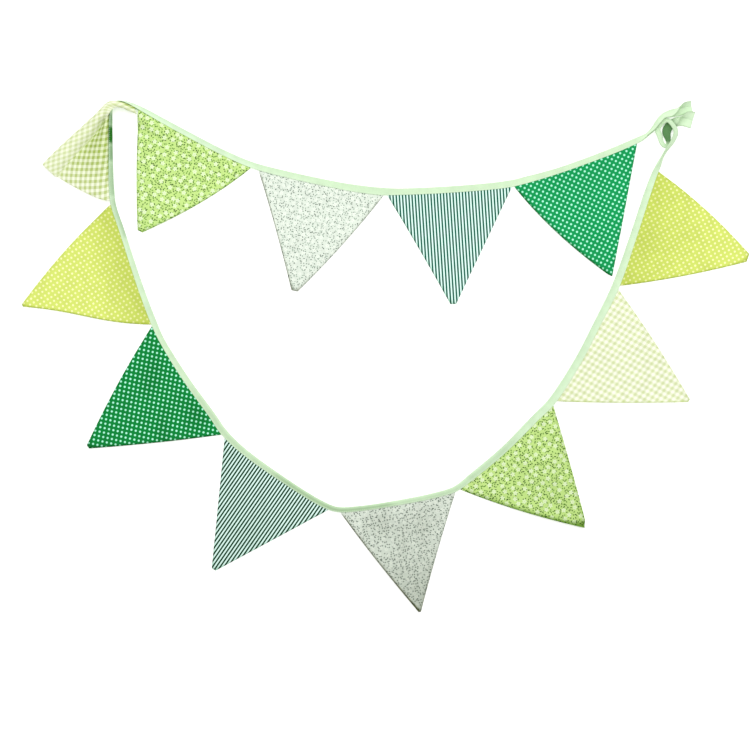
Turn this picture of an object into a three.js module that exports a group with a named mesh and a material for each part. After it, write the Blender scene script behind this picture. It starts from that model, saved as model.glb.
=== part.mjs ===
// Fabric bunting: twelve triangular cotton flags held in one folded binding tape. It lies in a loop
// on a flat surface, with the tape's two ends knotted together.
// Millimetres, +Z up, and the surface is at z = 0.
import * as THREE from "three";
import { mergeVertices } from "three/addons/utils/BufferGeometryUtils.js";

// Cloth and seam sizes
const FLAG_THICK = 1.0;
const TAPE_THICK = 1.0;
const SEAM_GAP = 0.3; // air between the tape and the flag inside it
const EDGE_SLACK = 1.5; // more air inside the tape where it stands on edge
const TIE_SLOT = 0.8; // air between the two walls of the tape where no flag is sewn in
const HEADING_START = 2.6; // how far a flag's top edge stays from the fold of the tape
const FALL = 28; // length over which a flag comes down from the tape to the surface
const FLAG_COLUMNS = 10;
const TIE_STEP = 3;
const FALL_ROWS = [0, 7, 14, 21, 28]; // distances from the mouth of the tape
const BODY_ROWS = [0.32, 0.48, 0.64, 0.8, 0.92, 1]; // shares of a flag's height

// The tape's centre line from the end of one tie to the end of the other.
// x, y: place. lift: height over the surface it would rest on. roll: turn about its own length, 0
// with the open side on the left and 180 on the right. width: finished width. open: how far the fold
// is spread out, 0 to 1, by its first wall, or by its other wall where it is below 0.
const ROUTE = [
  { x: 487.4, y: 391.8, lift: 0.6, roll: 0, width: 10.5, open: 0.8 },
  { x: 475, y: 388.8, lift: 2.2, roll: 0, width: 12, open: 0.7 },
  { x: 463.5, y: 385.4, lift: 4.4, roll: 4, width: 13.5, open: 0.45 },
  { x: 452, y: 382.7, lift: 7, roll: 12, width: 12.5, open: 0 },
  { x: 440.5, y: 378.5, lift: 7.5, roll: 20, width: 9.5, open: 0 },
  { x: 432, y: 369.5, lift: 7, roll: 22, width: 9, open: 0 },
  { x: 425, y: 359.5, lift: 4, roll: 40, width: 8.5, open: 0 },
  { x: 417, y: 351.5, lift: 0.5, roll: 62, width: 8, open: 0 },
  { x: 409, y: 346, lift: 0, roll: 30, width: 8.5, open: 0 },
  { x: 398, y: 340.5, lift: 0, roll: 3, width: 9.5, open: 0 },
  { x: 370, y: 328.2, lift: 0, roll: 0, width: 10, open: 0 },
  { x: 324, y: 310.4, lift: 0, roll: 0, width: 9.5, open: 0 },
  { x: 276, y: 293.5, lift: 0, roll: 0, width: 9.5, open: 0 },
  { x: 228, y: 279.6, lift: 0, roll: 0, width: 11.2, open: 0 },
  { x: 196, y: 272, lift: 0, roll: 0, width: 11.4, open: 0 },
  { x: 118.5, y: 264.3, lift: 0, roll: 0, width: 10.8, open: 0 },
  { x: 24, y: 259.8, lift: 0, roll: 0, width: 10.8, open: 0 },
  { x: -8.5, y: 260.5, lift: 0, roll: 0, width: 12.5, open: 0 },
  { x: -39, y: 264, lift: 0, roll: 0, width: 12, open: 0 },
  { x: -70, y: 269, lift: 0, roll: 0, width: 11, open: 0 },
  { x: -165, y: 289.5, lift: 0, roll: 0, width: 10.5, open: 0 },
  { x: -212, y: 302.5, lift: 0, roll: 0, width: 10, open: 0 },
  { x: -259, y: 323, lift: 0, roll: 0, width: 9, open: 0 },
  { x: -322.5, y: 356, lift: 0, roll: 5, width: 9, open: 0 },
  { x: -355, y: 373.5, lift: 0, roll: 15, width: 9, open: 0 },
  { x: -380, y: 387, lift: 0, roll: 32, width: 9.5, open: 0 },
  { x: -403, y: 397.5, lift: 0, roll: 60, width: 10, open: 0 },
  { x: -418, y: 401.5, lift: 0, roll: 78, width: 10, open: 0 },
  { x: -429, y: 399, lift: 0, roll: 90, width: 10, open: 0 },
  { x: -434.5, y: 389.5, lift: 0, roll: 102, width: 10, open: 0 },
  { x: -435.5, y: 370.5, lift: 0, roll: 118, width: 10, open: 0 },
  { x: -435.5, y: 342, lift: 0, roll: 122, width: 10, open: 0 },
  { x: -435, y: 302.5, lift: 0, roll: 130, width: 10, open: 0 },
  { x: -433.5, y: 262.5, lift: 0, roll: 150, width: 9.5, open: 0 },
  { x: -430.5, y: 238, lift: 0, roll: 168, width: 8.5, open: 0 },
  { x: -418.2, y: 200.8, lift: 0, roll: 180, width: 8.5, open: 0 },
  { x: -387.1, y: 106.3, lift: 0, roll: 180, width: 9.5, open: 0 },
  { x: -366.3, y: 51.5, lift: 0, roll: 180, width: 10, open: 0 },
  { x: -355.3, y: 26.9, lift: 0, roll: 180, width: 9, open: 0 },
  { x: -317.6, y: -34.6, lift: 0, roll: 180, width: 10, open: 0 },
  { x: -274, y: -95, lift: 0, roll: 180, width: 10.5, open: 0 },
  { x: -256.6, y: -120.3, lift: 0, roll: 180, width: 11, open: 0 },
  { x: -227.5, y: -149, lift: 0, roll: 180, width: 10, open: 0 },
  { x: -165, y: -194.5, lift: 0, roll: 180, width: 9, open: 0 },
  { x: -101, y: -234.5, lift: 0, roll: 180, width: 9, open: 0 },
  { x: -76, y: -244, lift: 0, roll: 180, width: 8.5, open: 0 },
  { x: -40, y: -242.5, lift: 0, roll: 180, width: 8, open: 0 },
  { x: 23, y: -233, lift: 0, roll: 180, width: 8, open: 0 },
  { x: 86, y: -220, lift: 0, roll: 180, width: 8.5, open: 0 },
  { x: 112.5, y: -211, lift: 0, roll: 180, width: 9, open: 0 },
  { x: 139.8, y: -190.4, lift: 0, roll: 180, width: 10.6, open: 0 },
  { x: 187.9, y: -150, lift: 0, roll: 180, width: 11, open: 0 },
  { x: 241, y: -96.5, lift: 0, roll: 180, width: 12, open: 0 },
  { x: 263.5, y: -74, lift: 0, roll: 180, width: 12.5, open: 0 },
  { x: 304, y: -12, lift: 0, roll: 180, width: 12, open: 0 },
  { x: 336, y: 49.5, lift: 0, roll: 180, width: 11.5, open: 0 },
  { x: 366.4, y: 111.7, lift: 0, roll: 180, width: 12.2, open: 0 },
  { x: 392.5, y: 185.3, lift: 0, roll: 180, width: 11.2, open: 0 },
  { x: 416, y: 256.8, lift: 0, roll: 178, width: 10.8, open: 0 },
  { x: 427.2, y: 287.8, lift: 0, roll: 186, width: 9.6, open: 0 },
  { x: 434.5, y: 304.2, lift: 0, roll: 222, width: 9, open: 0 },
  { x: 440, y: 316, lift: 1.5, roll: 245, width: 7.5, open: 0 },
  { x: 446.5, y: 327, lift: 4.5, roll: 240, width: 7.5, open: 0 },
  { x: 455, y: 339.5, lift: 5.5, roll: 215, width: 8, open: 0 },
  { x: 460, y: 353.5, lift: 5.5, roll: 205, width: 8.5, open: 0 },
  { x: 455.4, y: 364.2, lift: 5, roll: 205, width: 8.3, open: 0 },
  { x: 447, y: 372.3, lift: 4, roll: 203, width: 7.8, open: 0 },
  { x: 438, y: 367.6, lift: 3.2, roll: 205, width: 8.2, open: 0 },
  { x: 431.8, y: 358.6, lift: 2.6, roll: 205, width: 8.5, open: 0 },
  { x: 435.6, y: 347.9, lift: 1.6, roll: 200, width: 8.5, open: 0 },
  { x: 438.8, y: 337.4, lift: 0.6, roll: 190, width: 7, open: 0 },
  { x: 444.2, y: 331.8, lift: 0.1, roll: 182, width: 6.2, open: 0 },
  { x: 449.4, y: 336.6, lift: 0, roll: 180, width: 6.6, open: 0 },
  { x: 448.4, y: 345.2, lift: 0, roll: 180, width: 9.5, open: 0 },
  { x: 446.4, y: 354.2, lift: 0, roll: 180, width: 14.5, open: 0 },
  { x: 450, y: 363, lift: 0, roll: 180, width: 14.5, open: 0 },
  { x: 458.8, y: 369.4, lift: 0, roll: 180, width: 14, open: 0 },
  { x: 467, y: 371.4, lift: 0, roll: 180, width: 15, open: -0.4 },
  { x: 475, y: 370.6, lift: 0.2, roll: 180, width: 14, open: -0.75 },
  { x: 487, y: 367.5, lift: 0.3, roll: 180, width: 15, open: -0.9 },
];

// The flat flags in their order along the tape.
// from, to: arc lengths of the tape between which the flag is sewn in. tipX, tipY, blunt: its point
// and the point's width. bowFrom, bowTo: how far its two sides swell outwards. wave: height of a soft
// ripple, phase: where across the flag it runs. liftFrom: how far the side at from stands off the
// surface near the point.
const FLAGS = [
  { name: "flag_01_green_dots", colour: "#17915a", from: 108.5, to: 314.5,
    tipX: 357, tipY: 127, blunt: 8, bowFrom: 0, bowTo: 8, wave: 2, phase: 0.2, liftFrom: 0 },
  { name: "flag_02_stripe", colour: "#8fb8a6", from: 317.5, to: 515,
    tipX: 108.5, tipY: 81.5, blunt: 9, bowFrom: 0, bowTo: -1, wave: 1.5, phase: 0.6, liftFrom: 0 },
  { name: "flag_03_pale_flower", colour: "#dfe8dc", from: 520, to: 722,
    tipX: -143.5, tipY: 102.5, blunt: 10, bowFrom: 4, bowTo: -2, wave: 2, phase: 0.1, liftFrom: 0 },
  { name: "flag_04_lime_flower", colour: "#c0e083", from: 734, to: 933.5,
    tipX: -389, tipY: 197, blunt: 8, bowFrom: 8, bowTo: 3, wave: 2, phase: 0.5, liftFrom: 2, columns: 20 },
  { name: "flag_06_yellow_dots", colour: "#cfe05f", from: 1136.5, to: 1337,
    tipX: -575.5, tipY: 79.5, blunt: 6, bowFrom: 6, bowTo: 2, wave: 1.5, phase: 0.3, liftFrom: 0 },
  { name: "flag_07_green_dots", colour: "#0f8a4a", from: 1339, to: 1543,
    tipX: -471.5, tipY: -145, blunt: 6, bowFrom: 4, bowTo: 2, wave: 2.5, phase: 0.4, liftFrom: 0 },
  { name: "flag_08_stripe", colour: "#7fae9c", from: 1549.5, to: 1749,
    tipX: -272, tipY: -339.5, blunt: 7, bowFrom: 0, bowTo: 0, wave: 1.5, phase: 0.7, liftFrom: 0 },
  { name: "flag_09_pale_flower", colour: "#cdd8c6", from: 1766, to: 1951,
    tipX: 55.5, tipY: -407, blunt: 4, bowFrom: 2, bowTo: -2, wave: 2.5, phase: 0.2, liftFrom: 2 },
  { name: "flag_10_lime_flower", colour: "#b4d878", from: 1958, to: 2156,
    tipX: 316.5, tipY: -266, blunt: 12, bowFrom: 5, bowTo: 1, wave: 2, phase: 0.6, liftFrom: 6 },
  { name: "flag_11_gingham", colour: "#eef2c8", from: 2164, to: 2366,
    tipX: 482.5, tipY: -71.5, blunt: 5, bowFrom: 2, bowTo: 3, wave: 1.5, phase: 0.3, liftFrom: 0 },
  { name: "flag_12_yellow_dots", colour: "#d8e86a", from: 2371.5, to: 2563.5,
    tipX: 576, tipY: 155, blunt: 13, bowFrom: 4, bowTo: 6, wave: 1.5, phase: 0.5, liftFrom: 0, columns: 18 },
];

// The gingham flag at the corner of the loop, where the tape turns over: its outer part has rolled
// back over itself. at: share of its top edge from the lower end up. lie, reach: direction in
// degrees and length of the part that lies flat. heading, wide, high: direction and size of the
// roll. start, end: the part of the roll's turn that the cloth makes, in degrees from level.
const CORNER_FLAG = {
  name: "flag_05_gingham", colour: "#e4edc0", from: 938.5, to: 1131, columns: 36,
};
const CURL = [
  { at: 0, lie: 156, reach: 92, heading: 137, wide: 29, high: 9, start: -90, end: 205 },
  { at: 0.25, lie: 156, reach: 57, heading: 138, wide: 26, high: 12, start: -90, end: 205 },
  { at: 0.5, lie: 156, reach: 21, heading: 140, wide: 23, high: 16, start: -90, end: 195 },
  { at: 0.62, lie: 148, reach: 4, heading: 142, wide: 21, high: 20, start: -80, end: 138 },
  { at: 0.72, lie: 138, reach: -7, heading: 138, wide: 19, high: 22, start: -35, end: 135 },
  { at: 0.82, lie: 120, reach: -11, heading: 120, wide: 14, high: 19, start: 45, end: 145 },
  { at: 0.92, lie: 104, reach: -11, heading: 104, wide: 11, high: 16, start: 68, end: 155 },
  { at: 1, lie: 110, reach: -8.5, heading: 110, wide: 7, high: 12.5, start: 90, end: 150 },
];
const FLAT_ROWS = 10;
const ROLL_ROWS = 14;
const EDGE_CLEAR = 1.5; // how far it comes out of the tape before it bends
const LEAST_EASE = 2; // how far the cloth keeps its direction where it leaves the tape and meets the roll
const MOST_EASE = 16;

const UP = new THREE.Vector3(0, 0, 1);
const lerp = THREE.MathUtils.lerp;
const radians = THREE.MathUtils.degToRad;
const compass = (degrees) => new THREE.Vector3(1, 0, 0).applyAxisAngle(UP, radians(degrees));
const smooth = (x) => THREE.MathUtils.smoothstep(x, 0, 1);

// Reads the named columns of a table at a place between two rows.
function between(rows, place) {
  const i = Math.min(Math.floor(place), rows.length - 2);
  const share = place - i;
  const mixed = {};
  for (const column of Object.keys(rows[i])) {
    mixed[column] = lerp(rows[i][column], rows[i + 1][column], share);
  }
  return mixed;
}

// The tape's centre line with its length measured along it.
const routePoints = ROUTE.map((row) => new THREE.Vector3(row.x, row.y, row.lift));
const centreLine = new THREE.CatmullRomCurve3(routePoints);
centreLine.arcLengthDivisions = 4000;
const tapeLength = centreLine.getLength();
const firstFlag = FLAGS[0].from;
const lastFlag = FLAGS[FLAGS.length - 1].to;

// Place, directions and section of the tape at an arc length: along, across towards the open side,
// and its face.
function tapeAt(length) {
  const t = centreLine.getUtoTmapping(length / tapeLength);
  const row = between(ROUTE, t * (ROUTE.length - 1));
  const along = centreLine.getTangent(t);
  const left = new THREE.Vector3().crossVectors(UP, along).normalize();
  const above = new THREE.Vector3().crossVectors(along, left);
  const roll = radians(row.roll);
  const across = left.clone().multiplyScalar(Math.cos(roll)).addScaledVector(above, Math.sin(roll));
  const face = new THREE.Vector3().crossVectors(along, across);
  const inFlags = smooth((length - firstFlag + 20) / 16) * smooth((lastFlag + 20 - length) / 16);
  const onEdge = Math.sin(roll) ** 2;
  const slot = lerp(TIE_SLOT, FLAG_THICK + 2 * SEAM_GAP + EDGE_SLACK * onEdge, inFlags);
  const deep = slot + 2 * TAPE_THICK;
  const centre = centreLine.getPoint(t);
  centre.z += (Math.abs(across.z) * row.width + Math.abs(face.z) * deep) / 2;
  const fold = centre.clone().addScaledVector(across, -row.width / 2);
  return { fold, along, across, face, slot, width: row.width, open: row.open };
}

// A closed sheet: a box of the given columns and rows with each of its corners put in place.
function sheet(name, colour, columns, rows, place) {
  const box = new THREE.BoxGeometry(columns, rows, 2, columns, rows, 1);
  box.deleteAttribute("normal");
  box.deleteAttribute("uv");
  const geometry = mergeVertices(box);
  const corners = geometry.attributes.position;
  for (let i = 0; i < corners.count; i++) {
    const column = Math.round(corners.getX(i) + columns / 2);
    const row = Math.round(corners.getY(i) + rows / 2);
    const point = place(column, row, corners.getZ(i));
    corners.setXYZ(i, point.x, point.y, Math.max(point.z, 0));
  }
  geometry.computeVertexNormals();
  const material = new THREE.MeshStandardMaterial({ color: colour, roughness: 0.9, metalness: 0 });
  const mesh = new THREE.Mesh(geometry, material);
  mesh.name = name;
  return mesh;
}

// Section of the folded tape: one wall, the turn of the fold, the other wall. Each entry holds the
// distance from the fold, the height over the middle, and the direction that the outside of the
// cloth faces.
function foldSection({ slot, width, open }) {
  const radius = (slot + TAPE_THICK) / 2;
  const centre = radius + TAPE_THICK / 2;
  const wall = width - centre;
  const turn = Math.PI * (1 - Math.abs(open));
  const points = [];
  const onArc = (angle) => ({
    u: centre - radius * Math.sin(angle),
    w: -radius * Math.cos(angle),
    outU: -Math.sin(angle),
    outW: -Math.cos(angle),
  });
  const top = onArc(turn);
  points.push({ ...top, u: top.u - wall * Math.cos(turn), w: top.w + wall * Math.sin(turn) });
  for (const share of [1, 0.66, 0.33, 0]) points.push(onArc(turn * share));
  const bottom = onArc(0);
  points.push({ ...bottom, u: bottom.u + wall });
  if (open >= 0) return points;
  return points.map((point) => ({ ...point, w: -point.w, outW: -point.outW })).reverse();
}

// Arc lengths at which the tape has a section: close together in the ties, and at every column of a
// flag.
function tapeStations() {
  const stations = [];
  const run = (from, to, step) => {
    const parts = Math.ceil((to - from) / step);
    for (let i = 0; i < parts; i++) stations.push(from + ((to - from) * i) / parts);
  };
  const sewn = [...FLAGS, CORNER_FLAG].sort((a, b) => a.from - b.from);
  let last = 0;
  for (const flag of sewn) {
    run(last, flag.from, last === 0 ? TIE_STEP : flag.from - last);
    run(flag.from, flag.to, (flag.to - flag.from) / (flag.columns ?? FLAG_COLUMNS) + 0.001);
    last = flag.to;
  }
  run(last, tapeLength, TIE_STEP);
  stations.push(tapeLength);
  return stations;
}

function bindingTape() {
  const stations = tapeStations();
  const frames = stations.map(tapeAt);
  const sections = frames.map(foldSection);
  const across = sections[0].length - 1;
  return sheet("tape", "#d3ecc8", across, stations.length - 1, (column, row, side) => {
    const { fold, across: a, face } = frames[row];
    const { u, w, outU, outW } = sections[row][column];
    const out = (side * TAPE_THICK) / 2;
    return fold.clone().addScaledVector(a, u + out * outU).addScaledVector(face, w + out * outW);
  });
}

function flatFlag(flag) {
  const columns = flag.columns ?? FLAG_COLUMNS;
  const frames = [];
  for (let i = 0; i <= columns; i++) frames.push(tapeAt(lerp(flag.from, flag.to, i / columns)));
  const mouth = frames.map((f) => f.fold.clone().addScaledVector(f.across, f.width));
  const base = mouth[columns].clone().sub(mouth[0]).setZ(0).normalize();
  const tip = new THREE.Vector3(flag.tipX, flag.tipY, 0);
  const height = tip.distanceTo(mouth[columns / 2]);
  const rows = [-1, ...FALL_ROWS.map((mm) => mm / height), ...BODY_ROWS];
  return sheet(flag.name, flag.colour, columns, rows.length - 1, (column, row, side) => {
    const { fold, across, face } = frames[column];
    const half = (Math.sign(face.z) * side * FLAG_THICK) / 2;
    if (row <= 1) {
      const seam = row === 0 ? fold.clone().addScaledVector(across, HEADING_START) : mouth[column].clone();
      return seam.addScaledVector(face, (side * FLAG_THICK) / 2);
    }
    const u = column / columns;
    const v = rows[row];
    const point = mouth[column].clone().lerp(tip.clone().addScaledVector(base, flag.blunt * (u - 0.5)), v);
    const swell = u < 0.5 ? flag.bowFrom * (2 * u - 1) : flag.bowTo * (2 * u - 1);
    point.addScaledVector(base, swell * 4 * v * (1 - v));
    const out = v * height;
    const fall = smooth(out / FALL);
    const ripple = Math.max(0, Math.sin(2 * Math.PI * (u + flag.phase))) * Math.sin(Math.PI * v) * fall;
    const edge = Math.max(0, 1 - 2.2 * u) ** 2 * v * fall;
    const leave = across.z * out * (1 - fall);
    const rest = lerp(mouth[column].z, FLAG_THICK / 2, fall) + leave;
    point.z = rest + flag.wave * ripple + flag.liftFrom * edge + half;
    return point;
  });
}

// One line of the rolled flag, from inside the tape out over the surface and round the roll.
function curlLine(share) {
  const { fold, across, face, width } = tapeAt(lerp(CORNER_FLAG.to, CORNER_FLAG.from, share));
  const next = CURL.findIndex((row) => row.at > 0 && row.at > share - 1e-9);
  const gap = CURL[next].at - CURL[next - 1].at;
  const roll = between(CURL, next - 1 + (share - CURL[next - 1].at) / gap);
  const outward = compass(roll.heading);
  const seam = fold.clone().addScaledVector(across, HEADING_START);
  const mouth = fold.clone().addScaledVector(across, width + EDGE_CLEAR);
  const middle = mouth.clone().addScaledVector(compass(roll.lie), roll.reach);
  middle.addScaledVector(outward, roll.wide / 2).setZ(roll.high / 2);
  const wide = outward.clone().multiplyScalar(roll.wide / 2);
  const tall = UP.clone().multiplyScalar((roll.high - FLAG_THICK) / 2);
  const turned = (angle, a, b) =>
    a.clone().multiplyScalar(Math.cos(angle)).addScaledVector(b, Math.sin(angle));
  const angles = [];
  for (let i = 0; i <= ROLL_ROWS; i++) {
    angles.push(radians(lerp(roll.start, roll.end, i / ROLL_ROWS)));
  }
  const round = angles.map((angle) => turned(angle, wide, tall).add(middle));
  const arrive = turned(angles[0], tall, wide.clone().negate()).normalize();
  const ease = THREE.MathUtils.clamp(0.45 * mouth.distanceTo(round[0]), LEAST_EASE, MOST_EASE);
  const leave = mouth.clone().addScaledVector(across, ease);
  const meet = round[0].clone().addScaledVector(arrive, -ease);
  const flat = new THREE.CubicBezierCurve3(mouth, leave, meet, round[0]).getPoints(FLAT_ROWS);
  return { face, points: [seam, ...flat, ...round.slice(1)] };
}

function rolledFlag() {
  const lines = [];
  for (let i = 0; i <= CORNER_FLAG.columns; i++) lines.push(curlLine(i / CORNER_FLAG.columns));
  const last = lines[0].points.length - 1;
  const step = (column, row, dc, dr) => {
    const a = lines[Math.min(column + dc, CORNER_FLAG.columns)].points[Math.min(row + dr, last)];
    const b = lines[Math.max(column - dc, 0)].points[Math.max(row - dr, 0)];
    return a.clone().sub(b);
  };
  return sheet(CORNER_FLAG.name, CORNER_FLAG.colour, CORNER_FLAG.columns, last, (column, row, side) => {
    const inTape = row <= 1;
    const facing = inTape
      ? lines[column].face.clone().negate()
      : step(column, row, 1, 0).cross(step(column, row, 0, 1)).normalize();
    return lines[column].points[row].clone().addScaledVector(facing, (side * FLAG_THICK) / 2);
  });
}

const bunting = new THREE.Group();
bunting.add(bindingTape(), ...FLAGS.map(flatFlag), rolledFlag());

export default bunting;
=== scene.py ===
# Fabric bunting laid out in a loop: one folded binding tape with knotted ends, and twelve cotton flags.
# The tables are in millimetres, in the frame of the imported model.
import math
from bisect import bisect
from functools import lru_cache
from types import SimpleNamespace

import bmesh
import bpy
from mathutils import Color, Matrix, Vector, noise
from mathutils.geometry import interpolate_bezier


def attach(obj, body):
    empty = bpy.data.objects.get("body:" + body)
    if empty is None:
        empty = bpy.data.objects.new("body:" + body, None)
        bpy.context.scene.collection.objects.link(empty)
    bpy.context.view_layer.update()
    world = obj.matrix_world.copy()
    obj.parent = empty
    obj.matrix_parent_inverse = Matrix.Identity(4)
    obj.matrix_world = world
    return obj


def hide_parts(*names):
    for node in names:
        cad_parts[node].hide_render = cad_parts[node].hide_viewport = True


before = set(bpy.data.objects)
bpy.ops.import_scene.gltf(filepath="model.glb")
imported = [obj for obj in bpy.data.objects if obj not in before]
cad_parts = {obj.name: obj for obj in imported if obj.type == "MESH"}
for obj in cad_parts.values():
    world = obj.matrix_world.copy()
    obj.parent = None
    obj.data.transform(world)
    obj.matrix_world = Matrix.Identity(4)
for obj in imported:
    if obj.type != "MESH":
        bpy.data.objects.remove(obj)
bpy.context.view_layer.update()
scene = bpy.context.scene
mm = 0.001
up = Vector((0, 0, 1))
print("frame loaded:", len(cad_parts), "nodes")


def lerp(a, b, share):
    return a + (b - a) * share


def smooth(x):
    x = min(max(x, 0), 1)
    return x * x * (3 - 2 * x)


# 1 between two places, easing to 0 at each end.
def within(place, start, end, ease):
    return smooth((place - start + ease) / (2 * ease)) * smooth((end + ease - place) / (2 * ease))


def ripple(x, y, seed):
    return noise.noise(Vector((x, y, seed * 7.31)))  # about -1 to 1, the same on every run


def compass(degrees):
    return Vector((math.cos(math.radians(degrees)), math.sin(math.radians(degrees)), 0))


# Materials

def hexColour(code):
    srgb = [int(code[i:i + 2], 16) / 255 for i in (1, 3, 5)]
    return (*Color(srgb).from_srgb_to_scene_linear(), 1)


def addNode(tree, kind, links, **settings):
    made = tree.nodes.new("ShaderNode" + kind)
    for name, value in settings.items():
        setattr(made, name, value)
    for key, value in links.items():
        socket = made.inputs[key] if isinstance(key, int) else next(
            s for s in made.inputs if s.enabled and s.name == key)
        if isinstance(value, bpy.types.Node):
            value = next(s for s in value.outputs if s.enabled)
        if isinstance(value, bpy.types.NodeSocket):
            tree.links.new(value, socket)
        else:
            socket.default_value = value
    return made


# Painted shade given as a fuller, darker dye, mixed in on some pieces of the same cloth and on their shaded
# parts.
def shadeByFullerDye(tree, plain, strong):
    full = addNode(tree, "Attribute", {}, attribute_name="shadeByDye")
    return addNode(tree, "Mix", {"Factor": full.outputs["Fac"], "A": hexColour(plain), "B": hexColour(strong)},
                   data_type="RGBA")


dotLook = {"cell": (10.4, 9.7), "radius": 1.7, "soft": 0.2}


# Round dots in rows, each row half a step along from the last.
def dotPrint(tree, cloth, look):
    across, down = (size * mm for size in dotLook["cell"])
    distances = []
    for shift in (0, 0.5):
        cell = addNode(tree, "VectorMath", {0: cloth, 1: (1 / across, 1 / down, 0), 2: (shift, shift, 0)},
                       operation="MULTIPLY_ADD")
        place = addNode(tree, "VectorMath", {0: cell}, operation="FRACTION")
        offset = addNode(tree, "VectorMath", {0: place, 1: (across, down, 0), 2: (-across / 2, -down / 2, 0)},
                         operation="MULTIPLY_ADD")
        distances.append(addNode(tree, "VectorMath", {0: offset}, operation="LENGTH"))
    nearest = addNode(tree, "Math", {0: distances[0], 1: distances[1]}, operation="MINIMUM")
    inDot = addNode(tree, "MapRange", {
        "Value": nearest, "From Min": (dotLook["radius"] - dotLook["soft"]) * mm,
        "From Max": (dotLook["radius"] + dotLook["soft"]) * mm, "To Min": 1.0, "To Max": 0.0})
    ground = shadeByFullerDye(tree, look["ground"], look["strong"])
    return addNode(tree, "Mix", {"Factor": inDot, "A": ground, "B": hexColour(look["figure"])},
                   data_type="RGBA")


stripeLook = {"pitch": 5.0, "line": 2.6, "soft": 0.15}


# Even lines that run from the tape to the point of the flag.
def stripePrint(tree, cloth, look):
    parts = addNode(tree, "SeparateXYZ", {"Vector": cloth})
    folded = addNode(tree, "Math", {0: parts, 1: stripeLook["pitch"] / 2 * mm}, operation="PINGPONG")
    inLine = addNode(tree, "MapRange", {
        "Value": folded, "From Min": (stripeLook["line"] - stripeLook["soft"]) / 2 * mm,
        "From Max": (stripeLook["line"] + stripeLook["soft"]) / 2 * mm, "To Min": 1.0, "To Max": 0.0})
    line = shadeByFullerDye(tree, look["figure"], look["strong"])
    return addNode(tree, "Mix", {"Factor": inLine, "A": hexColour(look["ground"]), "B": line},
                   data_type="RGBA")


ginghamLook = {"check": (9.2, 8.25), "soft": 0.2}


# Two sets of dyed bands woven through each other: white, pale and full squares.
def ginghamWeave(tree, cloth, look):
    parts = addNode(tree, "SeparateXYZ", {"Vector": cloth})
    bands = []
    for axis, size in zip(("X", "Y"), ginghamLook["check"]):
        folded = addNode(tree, "Math", {0: parts.outputs[axis], 1: size / 2 * mm}, operation="PINGPONG")
        bands.append(addNode(tree, "MapRange", {
            "Value": folded, "From Min": (size / 4 - ginghamLook["soft"]) * mm,
            "From Max": (size / 4 + ginghamLook["soft"]) * mm}))
    dyed = addNode(tree, "Math", {0: bands[0], 1: bands[1]}, operation="ADD")
    half = addNode(tree, "Math", {0: dyed, 1: 0.5}, operation="MULTIPLY")
    band = shadeByFullerDye(tree, look["figure"], look["strong"])
    return addNode(tree, "Mix", {"Factor": half, "A": hexColour(look["ground"]), "B": band},
                   data_type="RGBA")


flowerLook = {"eye": 0.8, "leafShare": 0.85, "spread": (0.55, 0.9), "petals": 5.0, "lobe": 0.2, "soft": 0.2,
              "leafSoft": 0.2, "turn": 6.283}


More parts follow.
